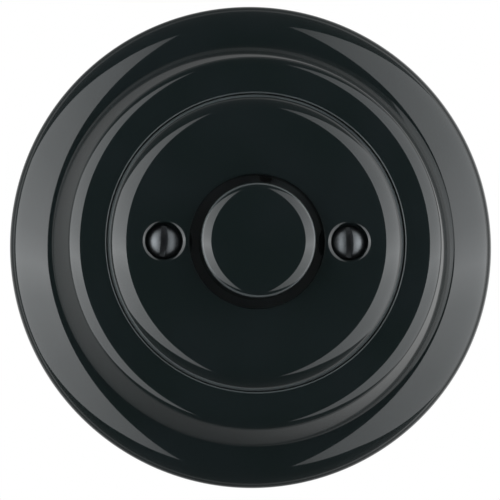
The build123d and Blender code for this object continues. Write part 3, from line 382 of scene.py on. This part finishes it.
def sweep_outline(mesh, outline, segments, centre_x=0.0, closed=False):
    """Turns an outline about an axis across the wall and returns its first and last ring."""
    rings = [add_ring(mesh, radius, height, segments, centre_x) for radius, height in outline]
    pairs = list(zip(rings, rings[1:]))
    if closed:
        pairs.append((rings[-1], rings[0]))
    for first, second in pairs:
        join_rings(mesh, first, second)
    return rings[0], rings[-1]


def fill_between(mesh, rings):
    """Closes a flat face that several rings bound."""
    edges = []
    for ring in rings:
        for step, vertex in enumerate(ring):
            edges.append(mesh.edges.get((vertex, ring[(step + 1) % len(ring)])))
    bmesh.ops.triangle_fill(mesh, use_beauty=True, use_dissolve=False, edges=edges)


def finish_piece(mesh, name, material, body, node, highlight_edges=()):
    """Turns the built mesh into a smooth shaded piece that stands for its node.

    Forward faces between the radii in highlight_edges get the paler glaze, a painted highlight."""
    bmesh.ops.recalc_face_normals(mesh, faces=mesh.faces)
    data = bpy.data.meshes.new(name)
    mesh.to_mesh(data)
    mesh.free()
    data.shade_smooth()
    data.set_sharp_from_angle(angle=math.radians(SHARP_DEGREES))
    data.materials.append(material)
    if highlight_edges:
        data.materials.append(edge_highlight_glaze)
    # Forward faces in the listed edge bands get the paler glaze: a painted highlight line.
    for face in data.polygons:
        radius = math.hypot(face.center.x, face.center.z) / MM
        if face.normal.y < FORWARD_Y and any(inner < radius < outer for inner, outer in highlight_edges):
            face.material_index = 1
    piece = bpy.data.objects.new(name, data)
    bpy.context.scene.collection.objects.link(piece)
    if body:
        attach(piece, body)
    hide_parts(node)
    print(name, "triangles", sum(len(face.vertices) - 2 for face in data.polygons))
    return piece


RING_SEGMENTS = 384
FRAME_RADIUS = 50.0
print("a segment of the rim is", round(2 * math.pi * FRAME_RADIUS / RING_SEGMENTS, 2), "mm long")

# %% [markdown]
# ## The outer frame
# From outside to inside: a foot that lies on the wall, a rounded rim, a broad sloping band, a
# hollow cove that climbs to a crisp step, a soft shoulder, and a flat ring around the opening.
# Behind it is hollow, with a ledge that the cover presses on. The curves are the same three
# bends as in the engineering model, only divided much finer. Each bend leaves its ends along a
# slope, and its pull says how far it keeps to that slope.

# %% Outline and mesh of the frame
foot_edge = 1.2
rim_pull = 2.0
band_end = (41.55, 6.5)
band_slope = 12
band_pull = 3.8
cove_slope = 56
cove_pull = 1.6
step_edge = (38.4, 11.9)
step_slope = 61
step_pull = 0.7
ring_edge = (34.8, 13.5)
ring_slope = 3.5
ring_pull = 1.75
opening_radius = 30.65
lip_radius = 0.3
ledge_height = 9.4
ledge_width = 3.2
ledge_thickness = 3.0
cavity_radius = 36.5
foot_radius = 43.5
lip_rise = (ring_edge[0] - opening_radius - lip_radius) * math.tan(math.radians(ring_slope))
lip_top = (opening_radius + lip_radius, ring_edge[1] + lip_rise)
frame_outline = without_repeats(
    [(FRAME_RADIUS, 0.0)]
    + bend((FRAME_RADIUS, foot_edge), (FRAME_RADIUS, foot_edge + rim_pull),
           uphill(band_end, band_slope, -band_pull), band_end, 72)
    + bend(band_end, uphill(band_end, cove_slope, cove_pull),
           uphill(step_edge, step_slope, -cove_pull), step_edge, 32)
    + bend(step_edge, uphill(step_edge, step_slope, step_pull),
           uphill(ring_edge, ring_slope, -ring_pull), ring_edge, 56)
    + straight(ring_edge, lip_top, 6)
    + turn((lip_top[0], lip_top[1] - lip_radius), lip_radius, 90, 90, 8)
    + straight((opening_radius, lip_top[1] - lip_radius), (opening_radius, ledge_height), 4)
    + [(opening_radius - ledge_width, ledge_height),
       (opening_radius - ledge_width, ledge_height - ledge_thickness),
       (cavity_radius, ledge_height - ledge_thickness),
       (foot_radius, 0.0)]
)
frame_mesh = bmesh.new()
sweep_outline(frame_mesh, frame_outline, RING_SEGMENTS, closed=True)
# The lip of the opening takes the paler glaze, a painted highlight line.
finish_piece(frame_mesh, "porcelain_frame", black_glaze, "fixed", "outer_frame",
             highlight_edges=[(opening_radius, opening_radius + lip_radius)])

# %% [markdown]
# ## The cover plate
# The cover is a disc with a rounded shoulder, a hole for the knob and two wells for the screws.
# The wells have a wide soft lip, because glaze pulls back from an edge. The flat face is filled
# between the rings, so the lips meet it without a seam.

# %% Outline and mesh of the cover
cover_radius = 30.5
cover_height = 16.2
cover_underside = 11.8
skirt = 4.0
knob_hole_radius = 13.8
hole_lip = 0.35
edge_start = (cover_radius, 13.0)
edge_radius = 0.6
edge_slope = 54
edge_pull = 2.0
shoulder_width = 5.15
shoulder_end = (cover_radius - shoulder_width, cover_height)
face_pull = 1.95
well_spacing = 38.0
well_radius = 3.85
well_lip = 1.0
well_lip_slope = 38
well_curve = well_lip / math.sin(math.radians(well_lip_slope))
well_wall_top = cover_height - well_curve + well_lip / math.tan(math.radians(well_lip_slope))
well_floor = 14.0
well_boss = 10.4
boss_radius = 6.0
screw_hole_radius = 1.95
WELL_SEGMENTS = 96

cover_mesh = bmesh.new()
edge = turn((cover_radius - edge_radius, edge_start[1]), edge_radius, 90 - edge_slope, edge_slope - 90, 12)
outside = without_repeats(
    bend(shoulder_end, (shoulder_end[0] + face_pull, cover_height),
         uphill(edge[0], edge_slope, edge_pull), edge[0], 64)
    + edge
    + straight(edge_start, (cover_radius, ledge_height), 4)
    + [(cover_radius - skirt, ledge_height), (cover_radius - skirt, cover_underside)]
)
face_rim, underside_rim = sweep_outline(cover_mesh, outside, RING_SEGMENTS)
hole = without_repeats(
    turn((knob_hole_radius + hole_lip, cover_height - hole_lip), hole_lip, 90, 90, 8)
    + straight((knob_hole_radius, cover_height - hole_lip), (knob_hole_radius, cover_underside), 4)
)
hole_rim, hole_foot = sweep_outline(cover_mesh, hole, RING_SEGMENTS // 2)
front_rings = [face_rim, hole_rim]
back_rings = [underside_rim, hole_foot]
for well_x in (-well_spacing / 2, well_spacing / 2):
    well = without_repeats(
        turn((well_radius + well_lip, cover_height - well_curve), well_curve, 90, well_lip_slope, 20)
        + straight((well_radius, well_wall_top), (well_radius, well_floor), 3)
        + [(screw_hole_radius, well_floor), (screw_hole_radius, well_boss), (boss_radius, well_boss),
           (boss_radius, cover_underside)]
    )
    well_rim, boss_rim = sweep_outline(cover_mesh, well, WELL_SEGMENTS, well_x)
    front_rings.append(well_rim)
    back_rings.append(boss_rim)
fill_between(cover_mesh, front_rings)
fill_between(cover_mesh, back_rings)
# The rounded edge of the cover takes the paler glaze, a painted highlight line.
finish_piece(cover_mesh, "porcelain_cover", black_glaze, "fixed", "cover_plate",
             highlight_edges=[(cover_radius - edge_radius, cover_radius)])

# %% [markdown]
# ## The knob
# A small porcelain cap with a straight side, a tight edge and an almost flat, slightly domed
# top. It is hollow behind, with a boss around the socket for its brass bush.

# %% Outline and mesh of the knob
knob_radius = 11.7
knob_height = 21.5
knob_foot = 11.6
knob_side = (knob_radius, 19.6)
knob_edge_radius = 0.6
knob_edge_slope = 55
knob_edge_pull = 0.45
knob_face_edge = (8.9, 21.2)
knob_face_slope = 7
knob_face_pull = 1.3
knob_dome_pull = 2.4
knob_hollow_radius = 9.3
knob_hollow_top = 18.1
socket_radius = 4.65
socket_top = 17.95
boss_outside = 6.6
foot_chamfer = 0.3
chamfer_hold = 0.1
# The band of the knob's edge that takes the paler glaze, a painted highlight line.
highlight_band = (0.4, 0.04)
knob_edge = turn((knob_radius - knob_edge_radius, knob_side[1]), knob_edge_radius,
                 0, 90 - knob_edge_slope, 12)
knob_outline = without_repeats(
    knob_edge
    + bend(knob_edge[-1], uphill(knob_edge[-1], knob_edge_slope, knob_edge_pull),
           uphill(knob_face_edge, knob_face_slope, -knob_face_pull), knob_face_edge, 48)
    + bend(knob_face_edge, uphill(knob_face_edge, knob_face_slope, knob_dome_pull),
           (knob_dome_pull, knob_height), (0, knob_height), 30)
)
knob_back = [(0, socket_top), (socket_radius, socket_top), (socket_radius, knob_foot),
             (boss_outside, knob_foot), (boss_outside, knob_hollow_top),
             (knob_hollow_radius, knob_hollow_top), (knob_hollow_radius, knob_foot)]
knob_back += straight((knob_radius - foot_chamfer, knob_foot), (knob_radius, knob_foot + foot_chamfer), 2)
knob_back += straight((knob_radius, knob_foot + foot_chamfer + chamfer_hold), knob_side, 5)
knob_mesh = bmesh.new()
sweep_outline(knob_mesh, knob_outline, RING_SEGMENTS // 2)
sweep_outline(knob_mesh, without_repeats(knob_back), RING_SEGMENTS // 2)
bmesh.ops.remove_doubles(knob_mesh, verts=knob_mesh.verts, dist=1e-6)
# The knob's edge band gets the paler glaze, a painted highlight.
finish_piece(knob_mesh, "porcelain_knob", black_glaze, "knob", "knob",
             highlight_edges=[tuple(knob_radius - inward for inward in highlight_band)])

# %% [markdown]
# ## The cover screws
# Slotted pan heads, blackened and tumbled, so every edge is a little round. The slot is cut with
# a boolean and its edges are broken with a bevel. Its right flank leans, as a screwdriver wears
# it by always turning the screw tight. The shank gets its real thread: a ridge that climbs 0.6 mm
# a turn. Nobody sees it in place, but the piece has it.

# %% Screw heads with their slots and threads
screw_head_radius = 3.4
screw_head_edge = 0.5
screw_head_top = 16.0
dome_rise = screw_head_top - well_floor - screw_head_edge
dome_radius = (screw_head_radius**2 + dome_rise**2) / (2 * dome_rise)
dome_half_angle = math.degrees(math.asin(screw_head_radius / dome_radius))
screw_length = 9.5
thread_pitch = 0.6
thread_root = 1.3
thread_crest = 1.68
slot_width = 1.4
slot_depth = 1.2
slot_wear = 0.5
slot_wear_top = 0.15
slot_leans = (-4.0, 1.5)
broken_edge = 0.07
head_chamfer = 0.15
shank_overlap = 0.05
HEAD_SEGMENTS = 96


def threaded_shank(mesh, centre_x, top, bottom, segments=40):
    """A round shank with a V thread, closed at both ends."""
    rows = []
    steps_per_turn = 4
    row_count = int((top - bottom) / thread_pitch * steps_per_turn)
    for row in range(row_count + 1):
        height = bottom + (top - bottom) * row / row_count
        ring = []
        for step in range(segments):
            angle = 2 * math.pi * step / segments
            phase = ((height - bottom) / thread_pitch - step / segments) % 1.0
            swell = 1 - abs(2 * phase - 1)
            fade = min(1.0, (height - bottom) / thread_pitch, (top - height) / thread_pitch)
            radius = thread_root + (thread_crest - thread_root) * swell * fade
            ring.append(mesh.verts.new(((centre_x + radius * math.cos(angle)) * MM, -height * MM,
                                        radius * math.sin(angle) * MM)))
        rows.append(ring)
    for first, second in zip(rows, rows[1:]):
        join_rings(mesh, first, second)
    mesh.faces.new(rows[0])
    mesh.faces.new(rows[-1])


def screw_head(centre_x, lean):
    """A pan head with its slot, as an object of its own."""
    mesh = bmesh.new()
    dome = without_repeats(
        [(0, well_floor), (screw_head_radius - head_chamfer, well_floor),
         (screw_head_radius, well_floor + head_chamfer)]
        + turn((0, screw_head_top - dome_radius), dome_radius, 90 - dome_half_angle, dome_half_angle, 24)
    )
    sweep_outline(mesh, dome, HEAD_SEGMENTS, centre_x)
    bmesh.ops.recalc_face_normals(mesh, faces=mesh.faces)
    data = bpy.data.meshes.new("head")
    mesh.to_mesh(data)
    mesh.free()
    head = bpy.data.objects.new("head", data)
    bpy.context.scene.collection.objects.link(head)
    cutter_data = bpy.data.meshes.new("slot_cutter")
    cutter = bpy.data.objects.new("slot_cutter", cutter_data)
    bpy.context.scene.collection.objects.link(cutter)
    box = bmesh.new()
    bmesh.ops.create_cube(box, size=1.0)
    bmesh.ops.scale(box, vec=(slot_width * MM, 2 * slot_depth * MM, 4 * screw_head_radius * MM),
                    verts=box.verts)
    for corner in box.verts:
        if corner.co.x > 0:
            corner.co.x += slot_wear * (slot_wear_top - corner.co.y / (slot_depth * MM)) * MM
    box.to_mesh(cutter_data)
    box.free()
    cutter.location = (centre_x * MM, -screw_head_top * MM, 0)
    cutter.rotation_euler = (0, -math.radians(lean), 0)
    cut = head.modifiers.new("slot", "BOOLEAN")
    cut.object = cutter
    cut.solver = "EXACT"
    edge = head.modifiers.new("broken_edges", "BEVEL")
    edge.width = broken_edge * MM
    edge.segments = 2
    edge.angle_limit = math.radians(40)
    bpy.context.view_layer.update()
    shaped = bpy.data.meshes.new_from_object(head.evaluated_get(bpy.context.evaluated_depsgraph_get()))
    bpy.data.objects.remove(cutter)
    bpy.data.objects.remove(head)
    return shaped


screw_mesh = bmesh.new()
for screw_x, lean in zip((-well_spacing / 2, well_spacing / 2), slot_leans):
    screw_mesh.from_mesh(screw_head(screw_x, lean))
    threaded_shank(screw_mesh, screw_x, well_floor + shank_overlap, well_floor - screw_length)
finish_piece(screw_mesh, "pan_head_screws", blackened_steel, "fixed", "cover_screws")

# %% [markdown]
# ## The return spring
# Behind the knob a compression spring of drawn wire pushes the switch bridge forward. It is wound
# here as a round wire along a helix, between the same two ends as in the engineering model. In
# the real dimmer its front end goes with the plunger and its back end stays in the box; here it
# is tied to no body and keeps its wound shape.

# %% Wind the spring
wire_radius = 0.3 * MM
spring_turns = 6
steps_per_turn = 28
wire_sides = 10
spring_low, spring_high = (Vector(corner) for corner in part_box("return_spring"))
coil_radius = (spring_high.x - spring_low.x) / 2 - wire_radius
coil_front = spring_low.y + wire_radius
coil_back = spring_high.y - wire_radius
climb = math.atan2(coil_back - coil_front, 2 * math.pi * coil_radius * spring_turns)
spring_mesh = bmesh.new()
wire_rings = []
step_count = spring_turns * steps_per_turn
for step in range(step_count + 1):
    angle = 2 * math.pi * step / steps_per_turn
    outward = Vector((math.cos(angle), 0, math.sin(angle)))
    along = Vector((-math.sin(angle) * math.cos(climb), math.sin(climb), math.cos(angle) * math.cos(climb)))
    across = outward.cross(along)
    middle = outward * coil_radius
    middle.y = coil_front + (coil_back - coil_front) * step / step_count
    wire_ring = []
    for side in range(wire_sides):
        around = 2 * math.pi * side / wire_sides
        wire_ring.append(spring_mesh.verts.new(
            middle + (outward * math.cos(around) + across * math.sin(around)) * wire_radius))
    wire_rings.append(wire_ring)
for first, second in zip(wire_rings, wire_rings[1:]):
    join_rings(spring_mesh, first, second)
spring_mesh.faces.new(wire_rings[0])
spring_mesh.faces.new(wire_rings[-1])
wound_spring = finish_piece(spring_mesh, "wound_return_spring", spring_steel, None,
                            "return_spring")
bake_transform(wound_spring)

# %% [markdown]
# ## Floor, room and lamps
# A glossy black thing is lit by what it mirrors. Two tall soft panels stand left and right and a
# little in front. They draw the long crescents on every rounded edge, and the dark room between
# them keeps the flat faces black. Each panel tapers upwards and downwards, so the crescents run
# out in points, and it fades the same way, as a soft box does away from its lamp. The room is
# bright all round at the level of the object, which draws the thin line on the rim. For the
# camera itself the floor and the room glow white, and the floor still takes the object's shadow.

# %% Floor
floor_height = -0.125
floor_half = 3.0
floor_glow = 0.6
floor_grains = 60.0
floor_mesh = bpy.data.meshes.new("pale_floor")
corners = [(floor_half * x, floor_half * y, floor_height) for x, y in ((-1, -1), (1, -1), (1, 1), (-1, 1))]
floor_mesh.from_pydata(corners, [], [(0, 1, 2, 3)])
floor = bpy.data.objects.new("pale_floor", floor_mesh)
bpy.context.scene.collection.objects.link(floor)
floor.visible_glossy = False
floor_paint, floor_tree = new_material("matt_white_paint")
floor_place = add_node(floor_tree, "ShaderNodeTexCoord")
floor_grain = add_node(floor_tree, "ShaderNodeTexNoise", {"Vector": floor_place.outputs["Object"]},
                       Scale=floor_grains)
floor_tone = add_node(floor_tree, "ShaderNodeValToRGB", {"Fac": floor_grain.outputs["Fac"]})
set_ramp(floor_tone, [(0, colour("F4F4F4")), (1, colour("FAFAFA"))])
floor_diffuse = add_node(floor_tree, "ShaderNodeBsdfDiffuse", {"Color": floor_tone.outputs["Color"]})
floor_rays = add_node(floor_tree, "ShaderNodeLightPath")
floor_lift = add_node(floor_tree, "ShaderNodeMath", {0: floor_rays.outputs["Is Camera Ray"]},
                      operation="MULTIPLY")
floor_lift.inputs[1].default_value = floor_glow
floor_light = add_node(floor_tree, "ShaderNodeEmission", {"Strength": floor_lift.outputs["Value"]},
                       Color=(1, 1, 1, 1))
floor_sum = add_node(floor_tree, "ShaderNodeAddShader",
                     {0: floor_diffuse.outputs["BSDF"], 1: floor_light.outputs["Emission"]})
finish_surface(floor_tree, floor_sum)
floor_mesh.materials.append(floor_paint)
print("floor", floor_height, "m")

# %% [markdown]
# ## The room that the glaze mirrors
# The world has no picture, only a brightness for each direction. It follows how far a direction
# points in front (-1) or behind (1): dark in front, bright at the level of the object, darker
# just behind and bright again far behind. The sides are brighter than top and bottom, and the
# right side a little more than the left. Matt surfaces get one even level from it.

# %% Room
front_dark = 0.04
diffuse_level = 0.30
shade_by_depth = ((-0.7, front_dark), (-0.4, 0.09), (0.0, 0.3), (0.03, 1.15), (0.13, 1.0),
                  (0.17, 0.45), (0.32, 0.4), (0.47, 0.65), (0.62, 1.3))
ramp_start = shade_by_depth[0][0]
top_share = 0.45
side_share = 1.0
right_share = 0.3
room = bpy.data.worlds.new("studio_room")
bpy.context.scene.world = room
room.use_nodes = True
room_tree = room.node_tree
room_tree.nodes.clear()
direction = add_node(room_tree, "ShaderNodeTexCoord")
parts = add_node(room_tree, "ShaderNodeSeparateXYZ", {"Vector": direction.outputs["Generated"]})
depth = add_node(room_tree, "ShaderNodeMapRange", {"Value": parts.outputs["Y"]})
depth.inputs["From Min"].default_value = ramp_start
behind = add_node(room_tree, "ShaderNodeValToRGB", {"Fac": depth.outputs["Result"]})
set_ramp(behind, [((place - ramp_start) / (1 - ramp_start), (shade, shade, shade, 1))
                  for place, shade in shade_by_depth])
square = add_node(room_tree, "ShaderNodeMath", {0: parts.outputs["X"], 1: parts.outputs["X"]},
                  operation="MULTIPLY")
even = add_node(room_tree, "ShaderNodeMath", {0: square.outputs["Value"]}, operation="MULTIPLY_ADD")
even.inputs[1].default_value = side_share
even.inputs[2].default_value = top_share
beside = add_node(room_tree, "ShaderNodeMath", {0: parts.outputs["X"], 2: even.outputs["Value"]},
                  operation="MULTIPLY_ADD")
beside.inputs[1].default_value = right_share
shade = add_node(room_tree, "ShaderNodeMath", {0: behind.outputs["Color"], 1: beside.outputs["Value"]},
                 operation="MULTIPLY")
rays = add_node(room_tree, "ShaderNodeLightPath")
for_diffuse = add_node(room_tree, "ShaderNodeMix", {"Factor": rays.outputs["Is Diffuse Ray"],
                                                    "A": shade.outputs["Value"]}, data_type="FLOAT")
for_diffuse.inputs["B"].default_value = diffuse_level
seen = add_node(room_tree, "ShaderNodeMath", {0: rays.outputs["Is Camera Ray"],
                                              1: rays.outputs["Is Transmission Ray"]}, operation="MAXIMUM")
level = add_node(room_tree, "ShaderNodeMix", {"Factor": seen.outputs["Value"],
                                              "A": for_diffuse.outputs["Result"]}, data_type="FLOAT")
level.inputs["B"].default_value = 1.0
sky = add_node(room_tree, "ShaderNodeBackground", {"Strength": level.outputs["Result"]}, Color=(1, 1, 1, 1))
add_node(room_tree, "ShaderNodeOutputWorld", {"Surface": sky.outputs["Background"]})
print("room: front", front_dark, "shades", len(shade_by_depth))


# %% [markdown]
# ## Two soft panels
# Each panel stands parallel to the side of the object. Its outline is given in shares of its
# distance: y towards the camera is negative, and z is up. The cloth is a touch cooler than
# white. Seen from behind the panel is clear, so it lights nothing that way.

# %% Soft panels
panel_distance = 0.6
cloth_tint = (0.965, 0.985, 1.0, 1)
lamp_reach = 5
lamp_fall = ((0, 1.0), (0.035, 0.77), (0.115, 0.575), (0.24, 0.44), (0.55, 0.28), (0.9, 0.15))


def soft_panel(name, side, radiance, distance, outline):
    """A tall panel parallel to the side of the object, bright at middle height."""
    x = side * distance
    data = bpy.data.meshes.new(name)
    points = [(x, y * distance, z * distance) for y, z in outline]
    order = list(range(len(points)))
    data.from_pydata(points, [], [order if side < 0 else order[::-1]])
    panel = bpy.data.objects.new(name, data)
    bpy.context.scene.collection.objects.link(panel)
    panel.visible_camera = False
    material, tree = new_material(name + "_cloth")
    place = add_node(tree, "ShaderNodeTexCoord")
    axes = add_node(tree, "ShaderNodeSeparateXYZ", {"Vector": place.outputs["Object"]})
    height = add_node(tree, "ShaderNodeMath", {0: axes.outputs["Z"]}, operation="ABSOLUTE")
    share = add_node(tree, "ShaderNodeMath", {0: height.outputs["Value"]}, operation="DIVIDE")
    share.inputs[1].default_value = lamp_reach * distance
    fall = add_node(tree, "ShaderNodeValToRGB", {"Fac": share.outputs["Value"]})
    set_ramp(fall, [(place, (glow, glow, glow, 1)) for place, glow in lamp_fall])
    strength = add_node(tree, "ShaderNodeMath", {0: fall.outputs["Color"]}, operation="MULTIPLY")
    strength.inputs[1].default_value = radiance
    glow = add_node(tree, "ShaderNodeEmission", {"Strength": strength.outputs["Value"]}, Color=cloth_tint)
    clear = add_node(tree, "ShaderNodeBsdfTransparent")
    back = add_node(tree, "ShaderNodeNewGeometry")
    one_sided = add_node(tree, "ShaderNodeMixShader", {0: back.outputs["Backfacing"],
                                                       1: glow.outputs["Emission"],
                                                       2: clear.outputs["BSDF"]})
    finish_surface(tree, one_sided)
    data.materials.append(material)


left_outline = ((-2.6, -3.7), (-1.0, -1.5), (-0.1, -0.5), (-0.1, 0.5), (-1.0, 1.7), (-2.6, 4.3), (-1.68, 0))
right_outline = ((-2.6, -3.5), (-1.0, -1.5), (0.02, -0.6), (0.02, 0.8), (-0.9, 2.0), (-2.4, 4.2), (-1.45, 0))
soft_panel("left_soft_panel", -1, 4.6, panel_distance, left_outline)
soft_panel("right_soft_panel", 1, 3.85, panel_distance, right_outline)
print("panels", panel_distance, "m to each side")

# %% [markdown]
# ## Camera
# The photograph was taken with a long lens, a little from the left and from below, so the raised
# parts shift right and up against the rim. The lens is worked out from the size of the outline:
# its radius in pixels stands for 50 mm, seen from the camera's distance.

# %% Place the camera
image_pixels = 500
outline_pixels = 240.9
outline_centre = (251.1, 247.0)
camera_azimuth = -4.4
camera_elevation = -4.1
camera_distance = 0.95
azimuth = math.radians(camera_azimuth)
elevation = math.radians(camera_elevation)
backward = Vector((math.sin(azimuth) * math.cos(elevation), -math.cos(azimuth) * math.cos(elevation),
                   math.sin(elevation)))
camera_data = bpy.data.cameras.new("camera")
camera = bpy.data.objects.new("camera", camera_data)
bpy.context.scene.collection.objects.link(camera)
metres_per_pixel = FRAME_RADIUS * MM / outline_pixels
aim = Vector((-(outline_centre[0] - image_pixels / 2) * metres_per_pixel, 0,
              (outline_centre[1] - image_pixels / 2) * metres_per_pixel))
camera.location = aim + backward * camera_distance
camera.rotation_euler = backward.to_track_quat("Z", "Y").to_euler()
camera_data.sensor_width = 36.0
camera_data.lens = camera_data.sensor_width * camera_distance / (image_pixels * metres_per_pixel)
bpy.context.scene.camera = camera
bpy.context.scene.view_settings.view_transform = "Standard"
print("lens", round(camera_data.lens, 1), "mm at", camera_distance, "m")
